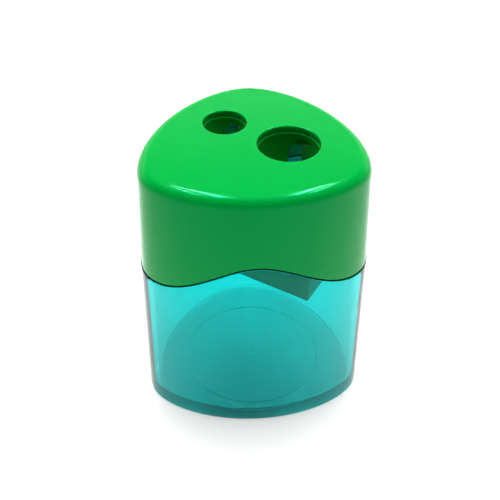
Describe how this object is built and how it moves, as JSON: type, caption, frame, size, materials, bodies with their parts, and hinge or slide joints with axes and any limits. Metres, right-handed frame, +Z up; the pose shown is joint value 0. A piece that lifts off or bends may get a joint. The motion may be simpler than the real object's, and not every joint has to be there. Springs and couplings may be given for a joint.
{
  "type": "pencil sharpener",
  "caption": "Canister pencil sharpener: clear rounded-triangle shavings container, wavy-edged lid with a narrow and a wide pencil hole, and a double sharpener block inside.",
  "frame": {"origin": "middle of the flat base, on the surface that the container stands on", "axes": "+Z up through the lid, -Y out of the front face between the two front lobes, +X towards the wide pencil hole"},
  "size_m": [0.045, 0.0418, 0.0565],
  "materials": {
    "clear_teal_plastic": "clear teal polystyrene, polished",
    "green_plastic": "opaque green, polished, slightly glossy",
    "block_plastic": "opaque green, moulded, satin",
    "blade_steel": "ground blade steel",
    "screw_steel": "zinc plated steel"
  },
  "bodies": {
    "container_body": {"container": "clear_teal_plastic"},
    "lid_body": {"lid": "green_plastic", "sharpener_block": "block_plastic", "blade_small": "blade_steel", "blade_large": "blade_steel", "screw_small": "screw_steel", "screw_large": "screw_steel"}
  },
  "joints": [
    {"name": "lid_lift", "type": "slide", "parent": "container_body", "child": "lid_body", "axis": [0, 0, 1], "range_m": [0, 0.035]}
  ]
}
